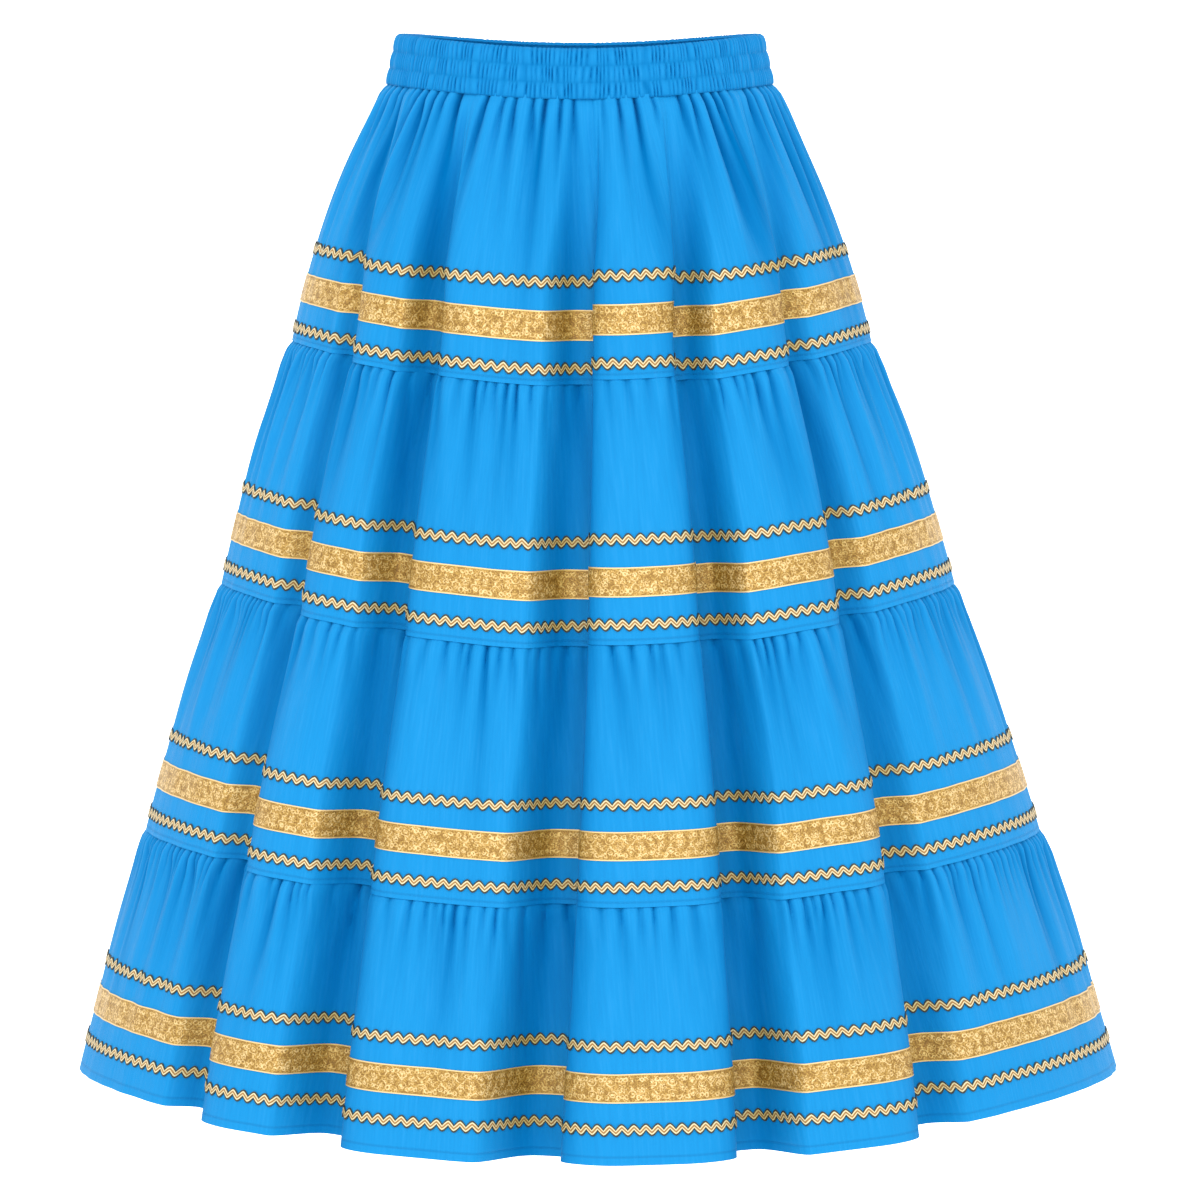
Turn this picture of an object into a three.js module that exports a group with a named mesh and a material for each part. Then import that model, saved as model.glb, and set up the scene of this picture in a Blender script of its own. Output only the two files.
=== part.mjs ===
// A prairie skirt of four gathered tiers on an elastic waistband, filled out as when worn.
// Each tier carries a gold brocade ribbon between two rickrack braids.
// Millimetres, +Z up. The front faces -Y, and the wearer's waist is held at the origin,
// which is the middle of the waistband's height, on the axis of the waist.
import * as THREE from "three";

const SEAM_GAP = 0.3;        // between pieces that are sewn together
const CLOTH_WALL = 1.5;      // woven cloth with its gathers pressed in
const BAND_WALL = 3.4;       // cloth, elastic and cloth
const MITRE_LIMIT = 2;       // longest corner of a wall, in wall thicknesses

const RIBBON = { width: 20.5, thick: 0.9, lift: 0.8 };
const BRAID = { width: 7.4, thick: 1.1, lift: 0.8, gap: 19 };

// Level lines round the skirt. z is the height at the sides, and dip says how much lower the
// front and back lie. The folds there: half depth, half width, and overlap as a share of that.
const LEVELS = [
  { name: "waist", z: 18.5, halfWidth: 136.5, halfDepth: 101, dip: 8.7, shiftX: 0,
    bulge: 0, foldDepth: 0, foldWidth: 5, overlap: 0 },
  { name: "band", z: -18.5, halfWidth: 144.5, halfDepth: 107, dip: 8.5, shiftX: 0,
    bulge: 0.48, foldDepth: 1.2, foldWidth: 5, overlap: 0.2 },
  { name: "seam_1", z: -209.2, halfWidth: 217.6, halfDepth: 152, dip: 29, shiftX: 1.5,
    bulge: 0.28, foldDepth: 13, foldWidth: 9, overlap: 1.15 },
  { name: "seam_2", z: -390.8, halfWidth: 275.9, halfDepth: 188, dip: 35.5, shiftX: 6,
    bulge: 0.2, foldDepth: 17, foldWidth: 11, overlap: 1.2 },
  { name: "seam_3", z: -576.5, halfWidth: 337.6, halfDepth: 225, dip: 34, shiftX: 9.7,
    bulge: 0.12, foldDepth: 21, foldWidth: 13, overlap: 1.2 },
  { name: "hem", z: -757.5, halfWidth: 392.5, halfDepth: 259, dip: 33, shiftX: 13.5,
    bulge: 0, foldDepth: 25, foldWidth: 15, overlap: 1.2 },
];
const DIP_POWER = 2.6;       // how late the level lines drop from the side to the front
const FOLD_FULL_AT = 0.6;    // where down a tier its folds are full, and go on unchanged
const SIDE_SEAM = 90;        // degrees round from the front, and the same to the left

// The long folds, in degrees round from the front, at the waistband, at the first ribbon and
// at the hem. front says which neighbour lies on top:
// 1 is the piece after the fold, -1 the piece before it. valley says where the piece under it
// has come up out of its valley, in half widths from the fold. lift raises the piece after the
// fold, at the first ribbon and at the hem. columns counts the points across that piece, or
// before and after the side seam that lies in it.
const FOLDS = [
  { atBand: -113, atRibbon: -113, atHem: -112, front: -1, depth: 0.7, valley: 3.4,
    liftTop: -0.5, liftHem: 0, seam: -SIDE_SEAM, columns: [0, 3] },
  { atBand: -60, atRibbon: -50.1, atHem: -46.8, front: 1, depth: 0.8, valley: 3.2,
    liftTop: 0, liftHem: 1, columns: 1 },
  { atBand: -32.5, atRibbon: -28.1, atHem: -27.6, front: 1, depth: 0.9, valley: 3.8,
    liftTop: 5, liftHem: 1, columns: 2 },
  { atBand: 5, atRibbon: 3.3, atHem: -3.1, front: 1, depth: 1, valley: 4.6,
    liftTop: 10.5, liftHem: 2.5, columns: 1 },
  { atBand: 24.5, atRibbon: 17.6, atHem: 13.9, front: -1, depth: 1, valley: 3.8,
    liftTop: 2, liftHem: 0.5, columns: 2 },
  { atBand: 52, atRibbon: 43.9, atHem: 35.6, front: -1, depth: 0.9, valley: 3.6,
    liftTop: -1.5, liftHem: 0, seam: SIDE_SEAM, columns: [4, 0] },
  { atBand: 111, atRibbon: 111, atHem: 112, front: 1, depth: 0.7, valley: 3.4,
    liftTop: -1, liftHem: 1, columns: 1 },
  { atBand: 131, atRibbon: 131, atHem: 130, front: 1, depth: 0.8, valley: 3.4,
    liftTop: 2, liftHem: 1, columns: 1 },
  { atBand: 151, atRibbon: 151, atHem: 149, front: 1, depth: 1, valley: 3.8,
    liftTop: 5, liftHem: 1, columns: 1 },
  { atBand: 171, atRibbon: 170, atHem: 168, front: 1, depth: 1, valley: 4.2,
    liftTop: 9, liftHem: 1, columns: 1 },
  { atBand: 189, atRibbon: 189, atHem: 191, front: -1, depth: 0.9, valley: 4.0,
    liftTop: 4, liftHem: 1, columns: 1 },
  { atBand: 208, atRibbon: 208, atHem: 210, front: -1, depth: 0.9, valley: 3.8,
    liftTop: 1, liftHem: 1, columns: 1 },
  { atBand: 228, atRibbon: 228, atHem: 229, front: -1, depth: 0.8, valley: 3.4,
    liftTop: -1, liftHem: 1, columns: 1 },
];

// Distances from a fold, in half widths: where the cloth turns under, where the rounded edge
// of the piece on top has its shoulder and its end, and where the piece under it is deepest.
const TURN_AT = 0.65;
const SHOULDER_AT = 1.6;
const EDGE_ENDS = 2.4;
const FLOOR_AT = 2.1;
const RIBBON_1_AT = 0.206;                      // share down from the band of the first ribbon
const LIFT_FULL_AT = -150;                      // side height where the lifts are full

// How far the cloth stands out, in fold depths: halfway through a fold, and over the body of a
// piece that lies under at both its folds. One on top comes down a little to its other side.
const MIDWAY = -0.5;
const LOW_BODY = -0.08;
const BODY_FALL = 0.2;
const GATHER_STARTS = 0.5;   // half widths from a fold where gathers begin, and are full
const GATHER_FULL = 1.8;

// Tiers from the waist down. gatherStep is the angle between points along the gathered edge,
// and gatherDepth is half of a gather's depth just below it.
const TIERS = [
  { name: "tier_1", top: "band", bottom: "seam_1", ribbonTop: -159, gatherStep: 2.45,
    gatherDepth: 3 },
  { name: "tier_2", top: "seam_1", bottom: "seam_2", ribbonTop: -337.4, gatherStep: 1.43,
    gatherDepth: 2.2 },
  { name: "tier_3", top: "seam_2", bottom: "seam_3", ribbonTop: -523, gatherStep: 1.43,
    gatherDepth: 2.6 },
  { name: "tier_4", top: "seam_3", bottom: "hem", ribbonTop: -693, gatherStep: 1.43,
    gatherDepth: 3 },
];
const GATHER_POINTS = 4;     // points to a gather
const FULL_GATHER = 2 * Math.PI;
const GATHER_LEAST = 0.6;    // depth of the shallowest gather, as a share of the deepest
const UNEVEN_STEP = 2.1;     // how fast the depth changes from point to point
const GATHER_AT = 0.14;      // where down a tier its gathers stand out most
const SMOOTH_AT = 0.4;       // where down a tier they have run out
const TRIM_MARGIN = 1.5;     // cloth between the upper braid and the row of points above it

// The elastic channels of the waistband, and the points that draw them.
const BAND = { channels: 3, puff: 1.7, columns: 60, rowsPerChannel: 2 };

const finish = (color, roughness, metalness) =>
  new THREE.MeshStandardMaterial({ color, roughness, metalness });
const CLOTH_FINISH = finish(0x1596ea, 0.75, 0);
const RIBBON_FINISH = finish(0xd9b050, 0.4, 0.6);
const BRAID_FINISH = finish(0xe8c476, 0.5, 0.3);

const FULL_TURN = 360;
const mix = (from, to, share) => from + (to - from) * share;
const between = (from, to, count) =>
  Array.from({ length: count }, (_, step) => mix(from, to, (step + 1) / (count + 1)));
const clamp = (value) => Math.min(1, Math.max(0, value));
const smooth = (from, to, value) => {
  const share = clamp((value - from) / (to - from));
  return share * share * (3 - 2 * share);
};
const radians = (degrees) => (degrees * Math.PI) / 180;
const levelNamed = (name) => LEVELS.find((level) => level.name === name);

// The sizes of the skirt at one side height, between the level lines above and below it.
function sizesAt(z) {
  let below = 1;
  while (below < LEVELS.length - 1 && z < LEVELS[below].z) below += 1;
  const upper = LEVELS[below - 1];
  const lower = LEVELS[below];
  const share = (upper.z - z) / (upper.z - lower.z);
  const rounded = share + upper.bulge * share * (1 - share);
  const folded = Math.min(1, share / FOLD_FULL_AT);
  return {
    z,
    halfWidth: mix(upper.halfWidth, lower.halfWidth, rounded),
    halfDepth: mix(upper.halfDepth, lower.halfDepth, rounded),
    dip: mix(upper.dip, lower.dip, rounded),
    shiftX: mix(upper.shiftX, lower.shiftX, share),
    foldDepth: mix(upper.foldDepth, lower.foldDepth, folded),
    foldWidth: mix(upper.foldWidth, lower.foldWidth, folded),
    overlap: mix(upper.overlap, lower.overlap, folded),
    down: clamp((levelNamed("band").z - z) / (levelNamed("band").z - levelNamed("hem").z)),
  };
}

// Length along the ring of one degree.
function lengthPerDegree(sizes, angle) {
  const turn = radians(angle);
  return radians(1) * Math.hypot(sizes.halfWidth * Math.cos(turn), sizes.halfDepth * Math.sin(turn));
}

// The folds at one level, with the first one again a full turn on.
function foldsAt(sizes) {
  const folds = FOLDS.map((fold) => {
    const isHigh = sizes.down < RIBBON_1_AT;
    const angle = isHigh
      ? mix(fold.atBand, fold.atRibbon, sizes.down / RIBBON_1_AT)
      : mix(fold.atRibbon, fold.atHem, (sizes.down - RIBBON_1_AT) / (1 - RIBBON_1_AT));
    const halfAngle = sizes.foldWidth / lengthPerDegree(sizes, angle);
    const fullLift = mix(fold.liftTop, fold.liftHem, sizes.down);
    const lift = fullLift * smooth(levelNamed("band").z, LIFT_FULL_AT, sizes.z);
    return { ...fold, angle, halfAngle, lift };
  });
  const first = folds[0];
  return [...folds, { ...first, angle: first.angle + FULL_TURN }];
}

// How far one piece between two folds stands out, in fold depths: high where it lies on top
// of its neighbour, with a rounded edge, and down in a valley where it lies under it.
function standOut(before, after, across, fromBefore, toAfter) {
  const isOnTopBefore = before.front > 0;
  const isOnTopAfter = after.front < 0;
  const share = isOnTopBefore ? across : 1 - across;
  const fall = isOnTopBefore === isOnTopAfter ? 0 : BODY_FALL * share;
  const highBody = (isOnTopBefore ? before.depth : after.depth) * (1 - fall);
  const body = isOnTopBefore || isOnTopAfter ? highBody : LOW_BODY;
  const side = (steps, isOnTop, fold) => {
    const midway = MIDWAY * fold.depth;
    if (isOnTop) return (midway - body) * (1 - Math.sin((Math.PI / 2) * clamp(steps / EDGE_ENDS)));
    const floor = mix(midway, -fold.depth, smooth(0, FLOOR_AT, steps));
    return (floor - body) * (1 - smooth(FLOOR_AT, fold.valley, steps));
  };
  return body + side(fromBefore, isOnTopBefore, before) + side(toAfter, isOnTopAfter, after);
}

// One point of the cloth's outer face.
function clothPoint(sizes, folds, angle, gather = 0) {
  const wrapped = angle - FULL_TURN * Math.floor((angle - folds[0].angle) / FULL_TURN);
  let index = 0;
  while (wrapped >= folds[index + 1].angle) index += 1;
  const before = folds[index];
  const after = folds[index + 1];
  const across = (wrapped - before.angle) / (after.angle - before.angle);
  const fromBefore = (wrapped - before.angle) / before.halfAngle;
  const toAfter = (after.angle - wrapped) / after.halfAngle;

  const pull = (steps) => steps * Math.exp((1 - steps * steps) / 2);
  const reach = sizes.overlap * sizes.foldWidth;
  const along = reach * (pull(toAfter) * after.depth - pull(fromBefore) * before.depth);
  const free = (steps) => smooth(GATHER_STARTS, GATHER_FULL, steps);
  const gathered = gather * Math.min(free(fromBefore), free(toAfter));
  const out = sizes.foldDepth * standOut(before, after, across, fromBefore, toAfter) + gathered;

  const previousLift = folds[(index + FOLDS.length - 1) % FOLDS.length].lift;
  const nextLift = folds[(index + 1) % FOLDS.length].lift;
  const turned = (steps) => smooth(-TURN_AT, TURN_AT, steps);
  const fromPrevious = mix(previousLift, before.lift, turned(fromBefore));
  const lift = mix(nextLift, fromPrevious, turned(toAfter));

  const turn = radians(angle);
  const sine = Math.sin(turn);
  const cosine = Math.cos(turn);
  const speed = Math.hypot(sizes.halfWidth * cosine, sizes.halfDepth * sine);
  const sideways = [(sizes.halfWidth * cosine) / speed, (sizes.halfDepth * sine) / speed];
  return new THREE.Vector3(
    sizes.shiftX + sizes.halfWidth * sine + sideways[0] * along + sideways[1] * out,
    -sizes.halfDepth * cosine + sideways[1] * along - sideways[0] * out,
    sizes.z - sizes.dip * Math.abs(cosine) ** DIP_POWER + lift,
  );
}

// The points through a fold, in half widths from it: the floor of the valley, the two turns and
// the shoulder of the piece on top.
function foldSteps(fold) {
  if (fold.front > 0) return [-FLOOR_AT, -TURN_AT, TURN_AT, SHOULDER_AT];
  return [-SHOULDER_AT, -TURN_AT, TURN_AT, FLOOR_AT];
}

// The angles of the points that every row of cloth has, from the left side seam round.
function mainAngles(folds) {
  const angles = [];
  for (let index = 0; index < FOLDS.length; index += 1) {
    const fold = folds[index];
    const next = folds[index + 1];
    for (const step of foldSteps(fold)) angles.push(fold.angle + step * fold.halfAngle);
    const start = fold.angle + foldSteps(fold).at(-1) * fold.halfAngle;
    const end = next.angle + foldSteps(next)[0] * next.halfAngle;
    if (fold.seam) {
      const [before, after] = fold.columns;
      angles.push(...between(start, fold.seam, before), fold.seam, ...between(fold.seam, end, after));
    } else {
      angles.push(...between(start, end, fold.columns));
    }
  }
  const firstSeam = angles.indexOf(-SIDE_SEAM);
  const turned = angles.slice(0, firstSeam).map((angle) => angle + FULL_TURN);
  return [...angles.slice(firstSeam), ...turned];
}

// How many steps the gathered edge takes between one main point and the next.
function gatherCounts(gatherStep) {
  const sizes = sizesAt(levelNamed("hem").z);
  const angles = mainAngles(foldsAt(sizes));
  return angles.map((angle, index) => {
    const next = angles[index + 1] ?? angles[0] + FULL_TURN;
    return Math.max(1, Math.round((next - angle) / gatherStep));
  });
}

// A closed row of points round the skirt, from the left side seam. anchors are the places
// of its main points, and seam is the number of the main point at the right side seam.
function row(z, counts = null, gatherDepth = 0) {
  const sizes = sizesAt(z);
  const folds = foldsAt(sizes);
  const angles = mainAngles(folds);
  const points = [];
  const anchors = [];
  angles.forEach((angle, index) => {
    const next = angles[index + 1] ?? angles[0] + FULL_TURN;
    const count = counts ? counts[index] : 1;
    const startHeight = clothPoint(sizes, folds, angle).z;
    const endHeight = clothPoint(sizes, folds, next).z;
    anchors.push(points.length);
    for (let step = 0; step < count; step += 1) {
      const wave = Math.cos((FULL_GATHER * points.length) / GATHER_POINTS);
      const uneven = mix(GATHER_LEAST, 1, 0.5 + 0.5 * Math.sin(UNEVEN_STEP * points.length));
      const gather = gatherDepth * wave * uneven;
      const point = clothPoint(sizes, folds, mix(angle, next, step / count), gather);
      point.z = mix(startHeight, endHeight, step / count);
      points.push(point);
    }
  });
  return { points, anchors, seam: angles.indexOf(SIDE_SEAM) };
}

// The same row moved out by a distance, square to its own line, seen from above. Or else square
// to the line of a guide, the same row without its gathers, so that its wall follows them.
function movedOut(source, distance, guide = source) {
  const { points } = guide;
  const count = points.length;
  const side = (from, to) => new THREE.Vector2(to.y - from.y, from.x - to.x).normalize();
  const moved = points.map((point, index) => {
    const before = side(points[(index + count - 1) % count], point);
    const after = side(point, points[(index + 1) % count]);
    const middle = before.clone().add(after).normalize();
    const corner = Math.min(MITRE_LIMIT, 1 / Math.max(middle.dot(after), 0.01));
    const shift = middle.multiplyScalar(distance * corner);
    const { x, y, z } = source.points[index];
    return new THREE.Vector3(x + shift.x, y + shift.y, z);
  });
  return { ...source, points: moved };
}

// A row with more points on the straight lines between its main points.
function divided(source, counts) {
  const points = [];
  const anchors = [];
  source.points.forEach((point, index) => {
    const next = source.points[(index + 1) % source.points.length];
    anchors.push(points.length);
    for (let step = 0; step < counts[index]; step += 1) {
      points.push(point.clone().lerp(next, step / counts[index]));
    }
  });
  return { ...source, points, anchors };
}

// A row part of the way from one row down to the next, on the straight lines between them.
function rowBetween(upper, lower, share) {
  const points = upper.points.map((point, index) => point.clone().lerp(lower.points[index], share));
  return { ...upper, points };
}

// Half of a row, from one side seam to the other, drawn back from the seams by half a gap.
function halfOf(source, isFront) {
  const middle = source.anchors[source.seam];
  const back = isFront ? -SEAM_GAP / 2 : SEAM_GAP / 2;
  const closed = [...source.points, source.points[0]];
  const points = isFront ? closed.slice(0, middle + 1) : closed.slice(middle);
  const places = [...source.anchors, source.points.length];
  const anchors = isFront
    ? places.slice(0, source.seam + 1)
    : places.slice(source.seam).map((place) => place - middle);
  const ends = [0, points.length - 1];
  const drawn = points.map((point, index) => {
    if (!ends.includes(index)) return point;
    return new THREE.Vector3(point.x, point.y + back, point.z);
  });
  return { points: drawn, anchors };
}

// A closed solid from rows of points. Each row is wound the same way round, and the rows go
// round the wall's own section: down the outside, then up the inside.
class Wall {
  constructor(isRing) {
    this.isRing = isRing;
    this.positions = [];
    this.faces = [];
    this.rows = [];
  }

  addRow({ points, anchors }, isInner = false) {
    const first = this.positions.length / 3;
    for (const point of points) this.positions.push(point.x, point.y, point.z);
    const places = points.map((_, index) => first + index);
    const stops = [...anchors];
    if (this.isRing) {
      places.push(first);
      stops.push(points.length);
    }
    this.rows.push({ places, stops, isInner });
  }

  // Joins two rows. Where one has more points between two main points, they fan to the other.
  // Inner rows run up, so equal steps are taken the other way there: the faces of the two sides
  // then have the same diagonals, and don't cross where the wall is twisted.
  joinRows(upper, lower) {
    for (let part = 0; part + 1 < upper.stops.length; part += 1) {
      const above = upper.places.slice(upper.stops[part], upper.stops[part + 1] + 1);
      const under = lower.places.slice(lower.stops[part], lower.stops[part + 1] + 1);
      let high = 0;
      let low = 0;
      while (high < above.length - 1 || low < under.length - 1) {
        const highNext = (high + 0.5) / (above.length - 1);
        const lowNext = (low + 0.5) / (under.length - 1);
        const isLowFirst = upper.isInner ? lowNext < highNext : lowNext <= highNext;
        if (high === above.length - 1 || (low < under.length - 1 && isLowFirst)) {
          this.faces.push(above[high], under[low], under[low + 1]);
          low += 1;
        } else {
          this.faces.push(above[high], under[low], above[high + 1]);
          high += 1;
        }
      }
    }
  }

  // Closes one end of an open wall across its section, outer and inner rows in pairs.
  closeEnd(isStart) {
    const count = this.rows.length;
    const place = (index) => {
      const { places } = this.rows[index];
      return isStart ? places[0] : places.at(-1);
    };
    for (let index = 0; index + 1 < count / 2; index += 1) {
      const [a, b] = [place(index), place(index + 1)];
      const [c, d] = [place(count - 2 - index), place(count - 1 - index)];
      if (isStart) this.faces.push(a, c, b, a, d, c);
      else this.faces.push(a, b, c, a, c, d);
    }
  }

  mesh(name, material) {
    this.rows.forEach((upper, index) => {
      this.joinRows(upper, this.rows[(index + 1) % this.rows.length]);
    });
    if (!this.isRing) {
      this.closeEnd(true);
      this.closeEnd(false);
    }
    const geometry = new THREE.BufferGeometry();
    geometry.setAttribute("position", new THREE.Float32BufferAttribute(this.positions, 3));
    geometry.setIndex(this.faces);
    geometry.computeVertexNormals();
    const mesh = new THREE.Mesh(geometry, material);
    mesh.name = name;
    return mesh;
  }
}

// The waistband: one ring with three elastic channels puffed out on its outer face.
function waistband() {
  const wall = new Wall(true);
  const top = levelNamed("waist");
  const bottom = levelNamed("band").z + SEAM_GAP / 2;
  const steps = BAND.channels * BAND.rowsPerChannel;
  const ring = (share, out) => {
    const sizes = { ...sizesAt(mix(top.z, bottom, share)), foldDepth: 0, overlap: 0 };
    const folds = foldsAt(sizes);
    const anchors = Array.from({ length: BAND.columns }, (_, column) => column);
    const points = anchors.map((column) => {
      return clothPoint(sizes, folds, (FULL_TURN * column) / BAND.columns);
    });
    return movedOut({ points, anchors }, out);
  };
  for (let step = 0; step <= steps; step += 1) {
    const share = step / steps;
    const puff = BAND.puff * Math.abs(Math.sin(Math.PI * BAND.channels * share));
    wall.addRow(ring(share, puff));
  }
  wall.addRow(ring(1, -BAND_WALL), true);
  wall.addRow(ring(0, -BAND_WALL), true);
  return wall.mesh("waistband", CLOTH_FINISH);
}

// The rows of one tier's outer and inner faces, from its gathered seam down. The seam's own
// row lies on the straight lines of the tier above.
function tierRows(tier) {
  const top = levelNamed(tier.top).z - SEAM_GAP / 2;
  const isHem = tier.bottom === "hem";
  const bottom = levelNamed(tier.bottom).z + (isHem ? 0 : SEAM_GAP / 2);
  const counts = gatherCounts(tier.gatherStep);
  const trimTop = tier.ribbonTop + BRAID.gap + BRAID.width / 2 + TRIM_MARGIN;
  const seam = row(top);
  const gatherZ = mix(top, bottom, GATHER_AT);
  const gathers = row(gatherZ, counts, tier.gatherDepth);
  const plain = [row(mix(top, bottom, SMOOTH_AT)), row(trimTop), row(bottom)];
  return {
    outer: [divided(seam, counts), gathers, ...plain],
    inner: [
      divided(movedOut(seam, -CLOTH_WALL), counts),
      movedOut(gathers, -CLOTH_WALL, row(gatherZ, counts)),
      ...plain.map((source) => movedOut(source, -CLOTH_WALL)),
    ],
    trimTop,
    bottom,
  };
}

// The front or back panel of a tier.
function panel(tier, { outer, inner }, isFront) {
  const wall = new Wall(false);
  for (const source of outer) wall.addRow(halfOf(source, isFront));
  for (const source of inner.toReversed()) wall.addRow(halfOf(source, isFront), true);
  return wall.mesh(`${tier.name}_${isFront ? "front" : "back"}`, CLOTH_FINISH);
}

// A ribbon or braid all round a tier, made from the tier's own points, moved out.
function trim(name, material, sizes, centre, trimRows) {
  const { upper, lower, trimTop, bottom } = trimRows;
  const at = (z) => rowBetween(upper, lower, (trimTop - z) / (trimTop - bottom));
  const high = at(centre + sizes.width / 2);
  const low = at(centre - sizes.width / 2);
  const wall = new Wall(true);
  wall.addRow(movedOut(high, sizes.lift + sizes.thick));
  wall.addRow(movedOut(low, sizes.lift + sizes.thick));
  wall.addRow(movedOut(low, sizes.lift), true);
  wall.addRow(movedOut(high, sizes.lift), true);
  return wall.mesh(name, material);
}

// A braid has three rows of points, with its ridge halfway down.
function braid(name, centre, trimRows) {
  const { upper, lower, trimTop, bottom } = trimRows;
  const at = (z) => rowBetween(upper, lower, (trimTop - z) / (trimTop - bottom));
  const wall = new Wall(true);
  wall.addRow(movedOut(at(centre + BRAID.width / 2), BRAID.lift));
  wall.addRow(movedOut(at(centre), BRAID.lift + BRAID.thick));
  wall.addRow(movedOut(at(centre - BRAID.width / 2), BRAID.lift), true);
  return wall.mesh(name, BRAID_FINISH);
}

const skirt = new THREE.Group();
skirt.add(waistband());
for (const tier of TIERS) {
  const rows = tierRows(tier);
  skirt.add(panel(tier, rows, true));
  skirt.add(panel(tier, rows, false));
  const { outer, trimTop, bottom } = rows;
  const trimRows = { upper: outer.at(-2), lower: outer.at(-1), trimTop, bottom };
  const ribbonCentre = tier.ribbonTop - RIBBON.width / 2;
  const braidOffset = RIBBON.width / 2 + BRAID.gap;
  skirt.add(braid(`${tier.name}_braid_upper`, ribbonCentre + braidOffset, trimRows));
  skirt.add(trim(`${tier.name}_ribbon`, RIBBON_FINISH, RIBBON, ribbonCentre, trimRows));
  skirt.add(braid(`${tier.name}_braid_lower`, ribbonCentre - braidOffset, trimRows));
}

export default skirt;
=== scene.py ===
"""The looks of a prairie skirt: four gathered tiers on an elastic waistband, with gold trims.

The skirt hangs from its waist at the origin, filled out as when worn. Its front faces -Y.
Tables are in millimetres and degrees, and meshes in metres.
"""

import math
from collections import namedtuple

import bpy
import numpy as np
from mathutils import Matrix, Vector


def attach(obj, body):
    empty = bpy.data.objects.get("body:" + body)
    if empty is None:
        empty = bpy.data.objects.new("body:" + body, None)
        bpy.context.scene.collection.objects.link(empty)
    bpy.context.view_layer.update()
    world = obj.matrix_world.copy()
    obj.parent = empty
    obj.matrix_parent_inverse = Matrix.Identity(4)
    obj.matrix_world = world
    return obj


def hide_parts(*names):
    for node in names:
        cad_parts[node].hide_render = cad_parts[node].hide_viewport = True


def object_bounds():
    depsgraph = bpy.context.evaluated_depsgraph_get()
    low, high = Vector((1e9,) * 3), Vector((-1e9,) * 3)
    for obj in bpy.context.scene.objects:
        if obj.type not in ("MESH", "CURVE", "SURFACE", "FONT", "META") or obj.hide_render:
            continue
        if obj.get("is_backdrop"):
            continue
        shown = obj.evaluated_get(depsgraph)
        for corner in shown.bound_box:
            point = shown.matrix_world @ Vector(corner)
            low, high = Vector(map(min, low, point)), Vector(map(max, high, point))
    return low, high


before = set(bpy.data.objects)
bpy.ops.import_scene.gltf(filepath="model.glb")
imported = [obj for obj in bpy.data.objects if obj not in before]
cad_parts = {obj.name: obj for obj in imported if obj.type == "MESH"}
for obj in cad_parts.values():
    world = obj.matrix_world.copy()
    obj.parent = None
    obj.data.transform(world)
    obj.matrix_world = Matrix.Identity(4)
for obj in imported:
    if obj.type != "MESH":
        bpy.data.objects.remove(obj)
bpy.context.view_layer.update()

# Camera
# It stands six metres in front, a little above the waist, and looks slightly down.

EYE = (0.015, -6.0, 0.14)
LOOK_AT = (0.015, 0.0, -0.405)
LENS = 241.0

bpy.ops.object.select_all(action="DESELECT")
bpy.ops.object.camera_add(location=EYE)
camera = bpy.context.object
camera.name = "camera"
camera.rotation_euler[0] = math.pi / 2 - math.atan2(EYE[2] - LOOK_AT[2], -EYE[1])
camera.data.lens = LENS
camera.data.clip_end = 400.0
bpy.context.scene.camera = camera

# Waistband
# A casing of the skirt's own cloth folded over three elastics and stitched between them, so
# that it stands in three puffed channels full of fine upright wrinkles. The first tier is
# sewn under its lower edge.

MM = 0.001
MM_A_METRE = 1000.0
FULL_TURN = 360.0
HALF_TURN = 180.0
WELD_WITHIN = 0.000001
SMOOTH_UP_TO = 60.0

# The form of the skirt at each level line, from the waist down to the hem. z is the height at
# the sides, and dip says how much lower the front and back lie. bulge rounds the line down to
# the next level. fold_depth, fold_width and overlap shape the long folds there.
Level = namedtuple(
    "Level", "z half_width half_depth dip shift_x bulge fold_depth fold_width overlap"
)
LEVELS = [
    Level(18.5, 136.5, 101, 8.7, 0, 0, 0, 5, 0),
    Level(-18.5, 144.5, 107, 8.5, 0, 0.48, 1.2, 5, 0.2),
    Level(-209.2, 217.6, 152, 29, 1.5, 0.28, 13, 9, 1.15),
    Level(-390.8, 275.9, 188, 35.5, 6, 0.2, 17, 11, 1.2),
    Level(-576.5, 337.6, 225, 34, 9.7, 0.12, 21, 13, 1.2),
    Level(-757.5, 392.5, 259, 33, 13.5, 0, 25, 15, 1.2),
]
WAIST, BAND_EDGE, SEAM_1, SEAM_2, SEAM_3, HEM = LEVELS
DIP_POWER = 2.6
FOLD_FULL_AT = 0.6


def smooth(low, high, value):
    share = np.clip((value - low) / (high - low), 0.0, 1.0)
    return share * share * (3.0 - 2.0 * share)


def blend(start, end, share):
    return start + (end - start) * share


def level_sizes(z):
    """The sizes of the skirt at an array of side heights."""
    lines = np.array(LEVELS)
    upper = np.sum(z[..., None] < lines[1:-1, 0], axis=-1)
    above = Level(*np.moveaxis(lines[upper], -1, 0))
    below = Level(*np.moveaxis(lines[upper + 1], -1, 0))
    share = (above.z - z) / (above.z - below.z)
    rounded = share + above.bulge * share * (1 - share)
    folded = np.minimum(1.0, share / FOLD_FULL_AT)
    shares = Level(share, rounded, rounded, rounded, share, share, folded, folded, folded)
    return Level(*map(blend, above, below, shares))


def grid_sheet(name, columns, rows):
    """A flat sheet as a grid. Gives it with each vertex's share across and up."""
    bpy.ops.object.select_all(action="DESELECT")
    bpy.ops.mesh.primitive_grid_add(x_subdivisions=columns, y_subdivisions=rows, size=1.0)
    piece = bpy.context.object
    piece.name = name
    piece.data.name = name
    places = np.zeros(len(piece.data.vertices) * 3)
    piece.data.vertices.foreach_get("co", places)
    places = places.reshape(-1, 3) + 0.5
    return piece, places[:, 0], places[:, 1]


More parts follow.
